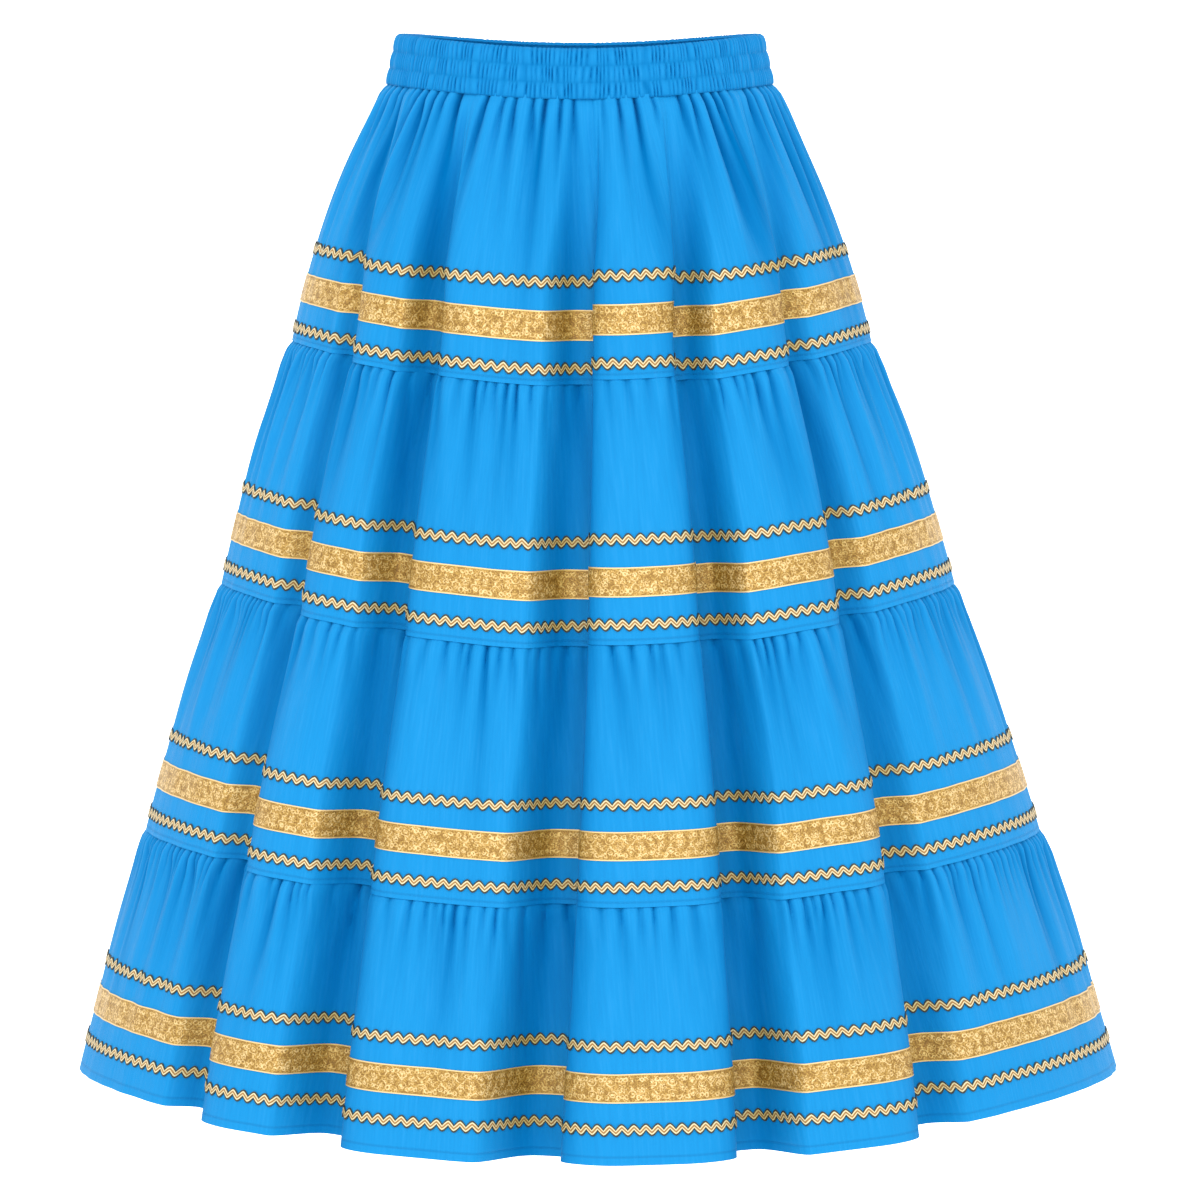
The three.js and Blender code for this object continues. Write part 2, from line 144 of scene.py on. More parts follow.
def shape(piece, points, shade, cut_x, cut_y, is_ring):
    """Moves a grid's vertices to their points, and keeps the painted shade at each, from 0 to 1.

    Its UV map holds the flat cut, in metres, with any row of stitches at height 0.
    """
    mesh = piece.data
    mesh.attributes.new("shade", "FLOAT", "POINT").data.foreach_set("value", np.ravel(shade))
    mesh.vertices.foreach_set("co", np.ravel(points))
    corners = np.zeros(len(mesh.loops), int)
    mesh.loops.foreach_get("vertex_index", corners)
    flat = np.stack([cut_x[corners], cut_y[corners]], axis=-1) * MM
    mesh.uv_layers.active.data.foreach_set("uv", np.ravel(flat))
    mesh.update()
    if is_ring:
        bpy.ops.object.mode_set(mode="EDIT")
        bpy.ops.mesh.select_all(action="SELECT")
        bpy.ops.mesh.remove_doubles(threshold=WELD_WITHIN)
        bpy.ops.object.mode_set(mode="OBJECT")


def thicken(piece, thickness):
    """Gives a sheet its wall, on its inner side."""
    wall = piece.modifiers.new("wall", "SOLIDIFY")
    wall.thickness = thickness * MM
    wall.offset = -1.0
    bpy.ops.object.modifier_apply(modifier=wall.name)


def dress(piece, material, slot_name, *cad_nodes):
    """Smooths a piece, gives it its material and puts it in place of its solids."""
    bpy.ops.object.shade_smooth_by_angle(angle=math.radians(SMOOTH_UP_TO))
    piece.data.materials.clear()
    piece.data.materials.append(material)
    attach(piece, "root")
    if cad_nodes:
        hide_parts(*cad_nodes)


class Shader:
    """A node tree under construction, for a material or a group."""

    def __init__(self, tree):
        self.nodes = tree.nodes
        self.links = tree.links

    def add(self, kind, inputs=None, **settings):
        """Adds a node. Its inputs are values, or outputs of other nodes, by name or number."""
        node = self.nodes.new(kind)
        for key, value in settings.items():
            setattr(node, key, value)
        self.feed(node, inputs or {})
        return node

    def feed(self, node, inputs):
        for key, value in inputs.items():
            if isinstance(value, bpy.types.NodeSocket):
                self.links.new(value, node.inputs[key])
            else:
                node.inputs[key].default_value = value

    def math(self, operation, *values):
        return self.add("ShaderNodeMath", dict(enumerate(values)), operation=operation).outputs[0]

    def soft_step(self, value, start, end):
        """From 0 at start to 1 at end."""
        inputs = {"Value": value, "From Min": start, "From Max": end}
        node = self.add("ShaderNodeMapRange", inputs, interpolation_type="SMOOTHSTEP")
        return node.outputs["Result"]

    def noise(self, place, scale, detail, roughness=0.5):
        """Noise on a place in metres, at a scale across and up in lengths a metre."""
        inputs = {"Vector": place, "Scale": (*scale, 1.0)}
        mapped = self.add("ShaderNodeMapping", inputs).outputs[0]
        inputs = {"Vector": mapped, "Scale": 1.0, "Detail": detail, "Roughness": roughness}
        return self.add("ShaderNodeTexNoise", inputs).outputs["Fac"]

    def colours(self, share, stops):
        """A colour ramp from (place, colour) stops."""
        ramp = self.add("ShaderNodeValToRGB", {"Fac": share})
        elements = ramp.color_ramp.elements
        while len(elements) < len(stops):
            elements.new(1.0)
        for element, (place, colour) in zip(elements, stops):
            element.position = place
            element.color = (*colour, 1.0)
        return ramp.outputs["Color"]

    def bump(self, height, distance, strength=1.0, under=None):
        inputs = {"Height": height, "Distance": distance, "Strength": strength}
        if under:
            inputs["Normal"] = under
        return self.add("ShaderNodeBump", inputs).outputs["Normal"]


def new_group(name, inputs, outputs):
    """An empty shader node group with named sockets, given as (name, kind) pairs."""
    group = bpy.data.node_groups.new(name, "ShaderNodeTree")
    for direction, sockets in (("INPUT", inputs), ("OUTPUT", outputs)):
        for socket, kind in sockets:
            kind_name = f"NodeSocket{kind}"
            group.interface.new_socket(socket, in_out=direction, socket_type=kind_name)
    shader = Shader(group)
    return group, shader, shader.add("NodeGroupInput"), shader.add("NodeGroupOutput")


def weave_group():
    """Plain weave of threads over and under each other, with a few thicker slubs."""
    inputs = [("Cut", "Vector"), ("Threads a Metre", "Float")]
    group, shader, start, end = new_group("plain_weave", inputs, [("Height", "Float")])
    cut = start.outputs["Cut"]
    threads = shader.math("MULTIPLY", start.outputs["Threads a Metre"], math.pi)
    place = shader.add("ShaderNodeSeparateXYZ", {0: cut})
    waves = [
        shader.math("SINE", shader.math("MULTIPLY", place.outputs[axis], threads))
        for axis in ("X", "Y")
    ]
    crossing = shader.math("MULTIPLY", *waves)
    slub = shader.noise(cut, (700.0, 60.0), 2.0)
    height = shader.math("MULTIPLY_ADD", crossing, 0.3, slub)
    shader.links.new(height, end.inputs["Height"])
    return group


def new_material(name):
    material = bpy.data.materials.new(name)
    material.use_nodes = True
    shader = Shader(material.node_tree)
    return material, shader, shader.nodes["Principled BSDF"]


def shade_group():
    """Paints shade into a colour where the shade attribute marks folds and creases, and gives how far
    each point lies out of that painted shade.
    """
    inputs = [("Color", "Color"), ("Painted Shade Colour", "Color")]
    outputs = [("Color", "Color"), ("Unshaded", "Float")]
    group, shader, start, end = new_group("fold_shade", inputs, outputs)
    shade = shader.add("ShaderNodeAttribute", attribute_name="shade").outputs["Fac"]
    inputs = {0: shade, 6: start.outputs["Color"], 7: start.outputs["Painted Shade Colour"]}
    mixed = shader.add("ShaderNodeMix", None, data_type="RGBA", blend_type="MULTIPLY")
    shader.feed(mixed, inputs)
    shader.links.new(mixed.outputs[2], end.inputs["Color"])
    shader.links.new(shader.math("SUBTRACT", 1.0, shade), end.inputs["Unshaded"])
    return group


def stitches_group():
    """A row of running stitches along the line where the cut's height is zero: its thread, and the
    groove it pulls in, which the cloth darkens with painted shade as well as bumping it.
    """
    outputs = [("Thread", "Float"), ("Groove", "Float")]
    group, shader, start, end = new_group("stitched_row", [("Cut", "Vector")], outputs)
    place = shader.add("ShaderNodeSeparateXYZ", {0: start.outputs["Cut"]})
    along = shader.math("MULTIPLY", place.outputs["X"], MM_A_METRE)
    off = shader.math("ABSOLUTE", shader.math("MULTIPLY", place.outputs["Y"], MM_A_METRE))
    dash = shader.soft_step(shader.math("PINGPONG", along, 1.5), 0.2, 0.5)
    thread = shader.math("MULTIPLY", dash, shader.soft_step(off, 0.45, 0.15))
    shader.links.new(thread, end.inputs["Thread"])
    shader.links.new(shader.soft_step(off, 1.5, 0.2), end.inputs["Groove"])
    return group


PLAIN_WEAVE = weave_group()
FOLD_SHADE = shade_group()
STITCHED_ROW = stitches_group()
CLOTH_PALE = (0.006, 0.250, 0.59)
CLOTH_MAIN = (0.000, 0.237, 0.57)
CLOTH_DEEP = (0.000, 0.222, 0.545)
# The stitch thread's own colour, which the cloth also takes as painted shade in the groove round the
# stitches.
CLOTH_THREAD_AND_GROOVE_SHADE = (0.000, 0.150, 0.40)
# The colour the cloth is multiplied by where its painted shade is full.
CLOTH_SHADE = (0.2, 0.56, 0.66, 1.0)
CLOTH_SPECULAR = 0.18
CLOTH_THREADS = 2600.0
# How strongly the thread and the painted shade in its groove show.
THREAD_AND_GROOVE_SHADE_SHOW = 0.35


def cloth_material():
    """Bright azure cotton blend with a soft sheen, faint upright slubs and light creases, and painted
    shade in its folds, gathers, wrinkles and stitch grooves.
    """
    material, shader, surface = new_material("azure_cloth")
    cut = shader.add("ShaderNodeUVMap").outputs["UV"]
    slubs = shader.noise(cut, (420.0, 22.0), 3.0, 0.6)
    stops = [(0.30, CLOTH_DEEP), (0.50, CLOTH_MAIN), (0.70, CLOTH_PALE)]
    sewn = shader.add("ShaderNodeGroup", node_tree=STITCHED_ROW)
    shader.feed(sewn, {"Cut": cut})
    # The thread keeps its own colour, and the groove round it is darkened with painted shade.
    thread_and_groove_shade = shader.math("MAXIMUM", sewn.outputs["Thread"], sewn.outputs["Groove"])
    inputs = {0: shader.math("MULTIPLY", thread_and_groove_shade, THREAD_AND_GROOVE_SHADE_SHOW), 6: shader.colours(slubs, stops)}
    dyed = shader.add("ShaderNodeMix", None, data_type="RGBA")
    shader.feed(dyed, {**inputs, 7: (*CLOTH_THREAD_AND_GROOVE_SHADE, 1.0)})
    # Painted shade: the colour is multiplied towards CLOTH_SHADE where the shade attribute marks
    # folds, gathers and wrinkles, and the gloss is taken away there.
    painted_shade = shader.add("ShaderNodeGroup", node_tree=FOLD_SHADE)
    shader.feed(painted_shade, {"Color": dyed.outputs[2], "Painted Shade Colour": CLOTH_SHADE})
    shader.links.new(painted_shade.outputs["Color"], surface.inputs["Base Color"])
    gloss = shader.math("MULTIPLY", painted_shade.outputs["Unshaded"], CLOTH_SPECULAR)
    shader.links.new(gloss, surface.inputs["Specular IOR Level"])
    weave = shader.add("ShaderNodeGroup", node_tree=PLAIN_WEAVE)
    weave.inputs["Threads a Metre"].default_value = CLOTH_THREADS
    shader.links.new(cut, weave.inputs["Cut"])
    fine = shader.bump(weave.outputs["Height"], 0.00025, 0.5)
    creases = shader.noise(cut, (60.0, 16.0), 4.0, 0.55)
    soft = shader.bump(creases, 0.0022, 0.6, fine)
    relief = shader.math("SUBTRACT", sewn.outputs["Thread"], sewn.outputs["Groove"])
    shader.links.new(shader.bump(relief, 0.0004, 0.5, soft), surface.inputs["Normal"])
    surface.inputs["Roughness"].default_value = 0.62
    surface.inputs["Sheen Weight"].default_value = 0.03
    surface.inputs["Sheen Roughness"].default_value = 0.5
    surface.inputs["Sheen Tint"].default_value = (0.5, 0.8, 1.0, 1.0)
    return material


AZURE = cloth_material()

BAND_WALL = 2.6
BAND_COLUMNS, BAND_ROWS = 1500, 24
BAND_CUT = (980.0, 40.0)
CHANNELS = 3
CHANNEL_PUFF = 1.0
CHANNEL_ROUND = 0.7
# The wrinkles, counted round the band. Shifts move them to the sides, as (waves round the band,
# reach) pairs, for all the channels and for each one. Their lean and strength come in waves too.
# The depth left at the stitches and in the weakest wrinkles is a share of the full one.
BAND_WRINKLES = 232
WRINKLE_DEPTH = 2.3
WRINKLE_ROUND = 0.75
SHARED_SHIFTS = [(7, 0.9), (19, 0.9), (41, 0.8), (67, 0.6)]
OWN_SHIFTS = [(23, 0.5), (57, 0.45)]
LEAN_WAVES, LEAN_REACH = 13, 0.7
STRONG_WAVES, STRONG_STEP = 29, 2.4
STRENGTH_MEAN, STRENGTH_SWING = 0.55, 0.45
WEAKEST_DEPTH = 0.45
STITCHED_DEPTH = 0.35
# The top edge rolls in, and waves up and down with its wrinkles, from these shares up.
BAND_ROLL, ROLLS_FROM = 1.8, 0.93
EDGE_WAVE, WAVES_FROM = 0.7, 0.9
# The painted shade in the wrinkles, and how much less of it lies on a ridge and on a puff.
BAND_SHADE = 0.85
RIDGE_LIGHT, PUFF_LIGHT = 0.45, 0.4


def oval_points(angle, z, out):
    """Points of a plain oval ring, which the waistband is: it has none of the long folds."""
    size = level_sizes(z)
    turn = np.radians(angle)
    sine, cosine = np.sin(turn), np.cos(turn)
    speed = np.hypot(size.half_width * cosine, size.half_depth * sine)
    x = size.half_width * sine + size.half_depth * sine / speed * out
    y = -size.half_depth * cosine - size.half_width * cosine / speed * out
    high = z - size.dip * np.abs(cosine) ** DIP_POWER
    return np.stack([x, y, high], axis=-1) * MM


def wrinkles(share_round, channel, chance):
    """Sharp folds between rounded puffs, from 0 to 1. They are uneven, and run on from channel to
    channel with a shift."""
    total = np.zeros_like(share_round)
    number = np.clip(np.floor(channel), 0, CHANNELS - 1)

    def shift(table):
        parts = [
            amount * np.sin(2 * math.pi * waves * share_round + chance.uniform(0, 2 * math.pi))
            for waves, amount in table
        ]
        return sum(parts)

    shared = shift(SHARED_SHIFTS)
    for index in range(CHANNELS):
        own = shift(OWN_SHIFTS)
        leans = np.sin(2 * math.pi * LEAN_WAVES * share_round + index)
        lean = LEAN_REACH * leans * (channel - index - 0.5)
        turn = math.pi * BAND_WRINKLES * share_round + shared + own + lean
        swing = np.sin(2 * math.pi * STRONG_WAVES * share_round + STRONG_STEP * index)
        strength = STRENGTH_MEAN + STRENGTH_SWING * swing
        depth = WEAKEST_DEPTH + (1 - WEAKEST_DEPTH) * strength
        ridge = np.abs(np.sin(turn)) ** WRINKLE_ROUND
        total += np.where(number == index, 1 - (1 - ridge) * depth, 0)
    return total


chance = np.random.default_rng(7)
waistband, share_round, share_up = grid_sheet("waistband_cloth", BAND_COLUMNS, BAND_ROWS)
channel = share_up * CHANNELS
puff = np.abs(np.sin(math.pi * channel)) ** CHANNEL_ROUND
ridge = wrinkles(share_round, channel, chance)
wrinkle_depth = WRINKLE_DEPTH * (STITCHED_DEPTH + (1 - STITCHED_DEPTH) * puff)
out = CHANNEL_PUFF * puff + wrinkle_depth * (ridge - 1)
out -= BAND_ROLL * smooth(ROLLS_FROM, 1.0, share_up) ** 2
band_z = blend(BAND_EDGE.z, WAIST.z, share_up)
band_z += EDGE_WAVE * (ridge - 0.5) * smooth(WAVES_FROM, 1.0, share_up)
angle = share_round * FULL_TURN - HALF_TURN
points = oval_points(angle, band_z, out)
# Painted shade, fullest in the wrinkles' folds and less on ridges and puffs.
shade = BAND_SHADE * (1 - ridge * (RIDGE_LIGHT + PUFF_LIGHT * puff))
shape(waistband, points, shade, share_round * BAND_CUT[0], share_up * BAND_CUT[1], True)
thicken(waistband, BAND_WALL)
dress(waistband, AZURE, "cloth", "waistband")

# Tiers
# Four rings of the same cloth, each cut as a front and a back panel joined at the side seams.
# Each is wider than the one above, gathered along its top edge and sewn under the lower edge
# of that one. The last has a narrow stitched hem.

# The long folds, in degrees round from the front, at the waistband, at the first ribbon and at
# the hem. front is 1 where the piece after the fold lies on top, and -1 where the piece before
# it does. valley says where the piece under it has come up out of its valley, in half widths
# from the fold. The lifts raise the piece after it.
Fold = namedtuple("Fold", "at_band at_ribbon at_hem front depth valley lift_top lift_hem")
FOLDS = [
    Fold(-113, -113, -112, -1, 0.7, 3.4, -0.5, 0),
    Fold(-60, -50.1, -46.8, 1, 0.8, 3.2, 0, 1),
    Fold(-32.5, -28.1, -27.6, 1, 0.9, 3.8, 5, 1),
    Fold(5, 3.3, -3.1, 1, 1, 4.6, 10.5, 2.5),
    Fold(24.5, 17.6, 13.9, -1, 1, 3.8, 2, 0.5),
    Fold(52, 43.9, 35.6, -1, 0.9, 3.6, -1.5, 0),
    Fold(111, 111, 112, 1, 0.7, 3.4, -1, 1),
    Fold(131, 131, 130, 1, 0.8, 3.4, 2, 1),
    Fold(151, 151, 149, 1, 1, 3.8, 5, 1),
    Fold(171, 170, 168, 1, 1, 4.2, 9, 1),
    Fold(189, 189, 191, -1, 0.9, 4.0, 4, 1),
    Fold(208, 208, 210, -1, 0.9, 3.8, 1, 1),
    Fold(228, 228, 229, -1, 0.8, 3.4, -1, 1),
]
LIFT_FULL_AT = -150.0
RIBBON_1_AT = 0.206
# Distances from a fold, in half widths: where the cloth turns under, where the rounded edge of
# the piece on top ends, and where the piece under it is deepest.
TURN_AT = 0.65
EDGE_ENDS = 2.4
FLOOR_AT = 2.1
# How far the cloth stands out, in fold depths: halfway through a fold, and over the body of a
# piece that lies under at both its folds. One on top comes down a little to its other side.
MIDWAY = -0.5
LOW_BODY = -0.08
BODY_FALL = 0.2
GATHER_STARTS, GATHER_FULL = 0.4, 1.6
# The painted shade in the folds: the fold depth from which it is full, the distances from a fold
# between which it grows under the piece on top, its least share there, and how far it goes over the
# rounded edge of that piece.
SHADED_DEPTH = 14.0
UNDER_EDGE = (0.9, 3.0)
UNDER_LEAST = 0.15
LIP_SHADE = 0.4
LIP = (0.8, 1.6)


def skirt_points(angle, z, out, gather, gather_shade):
    """Points of the cloth's outer face, moved out of its folds by out and gather, and the painted
    shade at each in a fold or gather, from 0 to 1. Both fade where the cloth turns under at a fold.
    """
    size = level_sizes(z)
    folds = Fold(*np.array(FOLDS).T)
    down = np.clip((BAND_EDGE.z - z) / (BAND_EDGE.z - HEM.z), 0, 1)[..., None]
    high = blend(folds.at_band, folds.at_ribbon, down / RIBBON_1_AT)
    low = blend(folds.at_ribbon, folds.at_hem, (down - RIBBON_1_AT) / (1 - RIBBON_1_AT))
    fold_at = np.where(down < RIBBON_1_AT, high, low)
    turned = np.radians(fold_at)
    across_step = size.half_width[..., None] * np.cos(turned)
    depth_step = size.half_depth[..., None] * np.sin(turned)
    per_degree = np.radians(1.0) * np.hypot(across_step, depth_step)
    half_angle = size.fold_width[..., None] / per_degree
    grows = smooth(BAND_EDGE.z, LIFT_FULL_AT, z)
    lifts = blend(folds.lift_top, folds.lift_hem, down) * grows[..., None]

    wrapped = angle - FULL_TURN * np.floor((angle - fold_at[..., 0]) / FULL_TURN)
    before = np.sum(wrapped[..., None] >= fold_at, axis=-1) - 1
    after = (before + 1) % len(FOLDS)

    def of(values, index):
        return np.take_along_axis(values, index[..., None], axis=-1)[..., 0]

    start_angle = of(fold_at, before)
    end_angle = of(fold_at, after) + np.where(after == 0, FULL_TURN, 0.0)
    across = (wrapped - start_angle) / (end_angle - start_angle)
    from_before = (wrapped - start_angle) / of(half_angle, before)
    to_after = (end_angle - wrapped) / of(half_angle, after)
    depth_before, depth_after = folds.depth[before], folds.depth[after]
    valley_before, valley_after = folds.valley[before], folds.valley[after]

    on_top_before, on_top_after = folds.front[before] > 0, folds.front[after] < 0
    high_body = np.where(on_top_before, depth_before, depth_after)
    fall = np.where(on_top_before, across, 1 - across) * (on_top_before != on_top_after)
    body = np.where(on_top_before | on_top_after, high_body * (1 - BODY_FALL * fall), LOW_BODY)

    def side(steps, is_on_top, depth, valley):
        """How far a piece draws back from its body's level at one of its folds."""
        midway = MIDWAY * depth
        edge = (midway - body) * (1 - np.sin(math.pi / 2 * np.clip(steps / EDGE_ENDS, 0, 1)))
        floor = blend(midway, -depth, smooth(0, FLOOR_AT, steps))
        return np.where(is_on_top, edge, (floor - body) * (1 - smooth(FLOOR_AT, valley, steps)))

    stand = body + side(from_before, on_top_before, depth_before, valley_before)
    stand += side(to_after, on_top_after, depth_after, valley_after)

    def pull(steps):
        return steps * np.exp((1 - steps * steps) / 2)

    reach = size.overlap * size.fold_width
    along = reach * (pull(to_after) * depth_after - pull(from_before) * depth_before)
    nearest = np.minimum(from_before, to_after)
    free = smooth(GATHER_STARTS, GATHER_FULL, nearest)
    proud = size.fold_depth * stand + out + gather * free
    # Painted shade: under the piece on top, over its rounded edge, and in the gathers.
    shade = np.clip((body - stand) / (body + 1), 0, 1)
    for steps, is_on_top in ((from_before, on_top_before), (to_after, on_top_after)):
        lip = 1 - (1 - shade) * (1 - LIP_SHADE * (1 - smooth(*LIP, steps)))
        under = shade * blend(UNDER_LEAST, 1, smooth(*UNDER_EDGE, steps))
        shade = np.where(is_on_top, lip, under)
    shade *= smooth(0, SHADED_DEPTH, size.fold_depth)
    shade = 1 - (1 - shade) * (1 - gather_shade * free)

    previous = (before + len(FOLDS) - 1) % len(FOLDS)
    lift = blend(of(lifts, previous), of(lifts, before), smooth(-TURN_AT, TURN_AT, from_before))
    lift = blend(of(lifts, after), lift, smooth(-TURN_AT, TURN_AT, to_after))

    turn = np.radians(angle)
    sine, cosine = np.sin(turn), np.cos(turn)
    speed = np.hypot(size.half_width * cosine, size.half_depth * sine)
    side_x = size.half_width * cosine / speed
    side_y = size.half_depth * sine / speed
    x = size.shift_x + size.half_width * sine + side_x * along + side_y * proud
    y = -size.half_depth * cosine + side_y * along - side_x * proud
    high = z - size.dip * np.abs(cosine) ** DIP_POWER + lift
    return np.stack([x, y, high], axis=-1) * MM, shade


# The tiers from the waist down. gathers counts them all round, depth and longest are those of
# the strongest one, and rarity says how few are strong. stitched is the height of the stitches
# above the lower edge, and cut_width is the width of one flat panel.
Tier = namedtuple(
    "Tier", "name top bottom ribbon_top gathers depth longest rarity stitched columns cut_width"
)
TIERS = [
    Tier("tier_1", BAND_EDGE.z, SEAM_1.z, -159.0, 84, 7.5, 120.0, 1.0, 3.5, 520, 800.0),
    Tier("tier_2", SEAM_1.z, SEAM_2.z, -337.4, 156, 5.8, 90.0, 1.9, 3.5, 580, 1100.0),
    Tier("tier_3", SEAM_2.z, SEAM_3.z, -523.0, 196, 5.8, 85.0, 1.9, 3.5, 640, 1350.0),
    Tier("tier_4", SEAM_3.z, HEM.z, -693.0, 230, 5.8, 80.0, 1.9, 6.0, 680, 1600.0),
]
FIRST_SEED = 20
CLOTH_WALL = 0.8
# The rows of a panel lie closer together near its gathered edge: some of their spacing is even,
# and the rest grows by a power.
TIER_ROWS = 26
EVEN_ROWS = 0.3
ROW_POWER = 1.9
# A panel's top goes up under the tier above and stands back there. Below the seam it rolls out.
TUCKED = 2.5
TUCK_DEPTH, TUCK_ENDS = 1.2, 2.5
TOP_ROLL, ROLL_FULL_AT, ROLL_REACH = 2.8, 8.0, 24.0
# Gathers: their spacing as shares of an even one, the strength and length of the weakest, their lean
# and widening for each millimetre down, and the depth at which their painted shade is full.
SPACING = (0.65, 1.35)
LEAST_STRENGTH = 0.55
SHORTEST, LENGTH_POWER = 22.0, 4
LEAN = 0.06
GATHER_WIDTHS = (1.1, 1.7)
WIDENING = 0.06
GATHER_POWER = 1.5
DEEP_GATHER = 5.5
GATHERED_BY = (-3.0, 2.0)
# Ripples: the range of their waves round the skirt, how far they shift down a tier in radians, the
# share of a tier where they are full, and the shares between which they fade, and by how much.
RIPPLES = 9
RIPPLE_WAVES = (24, 70)
RIPPLE_DEPTH = 1.5
RIPPLE_SHIFT = 0.6
RIPPLES_FULL_AT = 0.12
RIPPLES_FADE, RIPPLES_FADED = (0.3, 0.8), 0.85


class Gathers:
    """The gathers of one tier: sharp valleys of uneven depth and length below its seam,
    over broad soft ripples that reach further down."""

    def __init__(self, tier, seed):
        chance = np.random.default_rng(seed)
        self.tier = tier
        steps = chance.uniform(*SPACING, tier.gathers)
        self.at = np.cumsum(steps) / np.sum(steps) * FULL_TURN - HALF_TURN
        rank = chance.uniform(0, 1, tier.gathers) ** tier.rarity
        strength = blend(LEAST_STRENGTH, 1, rank)
        self.depth = tier.depth * strength
        self.length = SHORTEST + (tier.longest - SHORTEST) * strength**LENGTH_POWER
        self.lean = chance.uniform(-LEAN, LEAN, tier.gathers)
        self.width = chance.uniform(*GATHER_WIDTHS, tier.gathers)
        self.ripple_waves = chance.integers(*RIPPLE_WAVES, RIPPLES)
        self.ripple_phase = chance.uniform(0, 2 * math.pi, RIPPLES)

    def out(self, angle, z):
        """How far the gathers push the cloth in, and the ripples in and out, and the painted shade in
        the gathers at each point, from 0 to 1."""
        fall = np.clip(self.tier.top - z, 0, None)
        size = level_sizes(z)
        turn = np.radians(angle)
        speed = np.hypot(size.half_width * np.cos(turn), size.half_depth * np.sin(turn))
        per_degree = np.radians(1.0) * speed
        valleys = np.zeros_like(angle)
        for at, depth, length, lean, width in zip(
            self.at, self.depth, self.length, self.lean, self.width
        ):
            apart = (angle - at + HALF_TURN) % FULL_TURN - HALF_TURN
            distance = apart * per_degree - lean * fall
            valley = np.exp(-((np.abs(distance) / (width + WIDENING * fall)) ** GATHER_POWER))
            valleys += depth * valley * np.exp(-((fall / length) ** GATHER_POWER))
        share = fall / (self.tier.top - self.tier.bottom)
        fades = 1 - RIPPLES_FADED * smooth(*RIPPLES_FADE, share)
        fades *= smooth(0, RIPPLES_FULL_AT, share)
        ripples = np.zeros_like(angle)
        for waves, phase in zip(self.ripple_waves, self.ripple_phase):
            ripples += np.sin(waves * turn + phase + RIPPLE_SHIFT * share)
        starts = smooth(*GATHERED_BY, fall)
        out = RIPPLE_DEPTH / math.sqrt(RIPPLES / 2) * ripples * fades - valleys
        return out * starts, np.clip(valleys / DEEP_GATHER, 0, 1) * starts


def tier_points(tier, angle, z, proud=None):
    """Points of a tier's outer face, moved out square to it by proud millimetres, and the painted
    shade at each."""

    def face(angle, z):
        below = tier.top - z
        settles = np.exp(-np.clip(below, 0, None) / ROLL_REACH)
        roll = TOP_ROLL * smooth(0.0, ROLL_FULL_AT, below) * settles
        tuck = TUCK_DEPTH * (1 - smooth(0.0, TUCK_ENDS, below))
        return skirt_points(angle, z, roll - tuck, *GATHERS[tier.name].out(angle, z))

    points, shade = face(angle, z)
    if proud is None:
        return points, shade
    turn_step, drop_step = 0.05, 0.5
    to_right = face(angle + turn_step, z)[0] - face(angle - turn_step, z)[0]
    upwards = face(angle, z + drop_step)[0] - face(angle, z - drop_step)[0]
    square = np.cross(to_right, upwards)
    square /= np.linalg.norm(square, axis=-1, keepdims=True)
    return points + square * proud[..., None] * MM, shade


GATHERS = {tier.name: Gathers(tier, FIRST_SEED + number) for number, tier in enumerate(TIERS)}
for tier in TIERS:
    for side, first_angle in (("front", -90.0), ("back", 90.0)):
        name = f"{tier.name}_{side}_cloth"
        sheet, share_across, share_up = grid_sheet(name, tier.columns, TIER_ROWS)
        share_down = 1 - share_up
        height = tier.top - tier.bottom
        spaced = EVEN_ROWS * share_down + (1 - EVEN_ROWS) * share_down**ROW_POWER
        fall = -TUCKED + (height + TUCKED) * spaced
        angle = first_angle + HALF_TURN * share_across
        points, shade = tier_points(tier, angle, tier.top - fall)
        cut_y = height - tier.stitched - fall
        shape(sheet, points, shade, share_across * tier.cut_width, cut_y, False)
        thicken(sheet, CLOTH_WALL)
        dress(sheet, AZURE, "cloth", f"{tier.name}_{side}")

# Ribbons
# A gold brocade ribbon all round each tier, sewn on flat along both edges. Its field is woven
# in raised scrolls and rosettes between plain selvedges.

RIBBON_WIDTH = 20.5
RIBBON_THICK = 0.45
TRIM_CLEARANCE = 0.25
RIBBON_STEP = 1.9
DENSE = 24000
# Points round the ribbon's section: its share across, and its height as a share.
RIBBON_SECTION = [(-0.5, 0), (-0.5, 1), (-0.25, 1), (0, 1), (0.25, 1), (0.5, 1), (0.5, 0), (-0.5, 0)]

GOLD_PALE = (0.80, 0.58, 0.27)
GOLD_MAIN = (0.50, 0.30, 0.065)
GOLD_DEEP = (0.20, 0.095, 0.010)
GOLD_SHADE = (0.64, 0.57, 0.22, 1.0)


def path_round(tier, z):
    """The way round a tier at one side height: its angles, and the length gone at each."""
    angles = np.linspace(-HALF_TURN, HALF_TURN, DENSE + 1)
    points, _ = tier_points(tier, angles, np.full(angles.shape, z))
    steps = np.linalg.norm(np.diff(points, axis=0), axis=1) / MM
    return angles, np.concatenate([[0.0], np.cumsum(steps)])


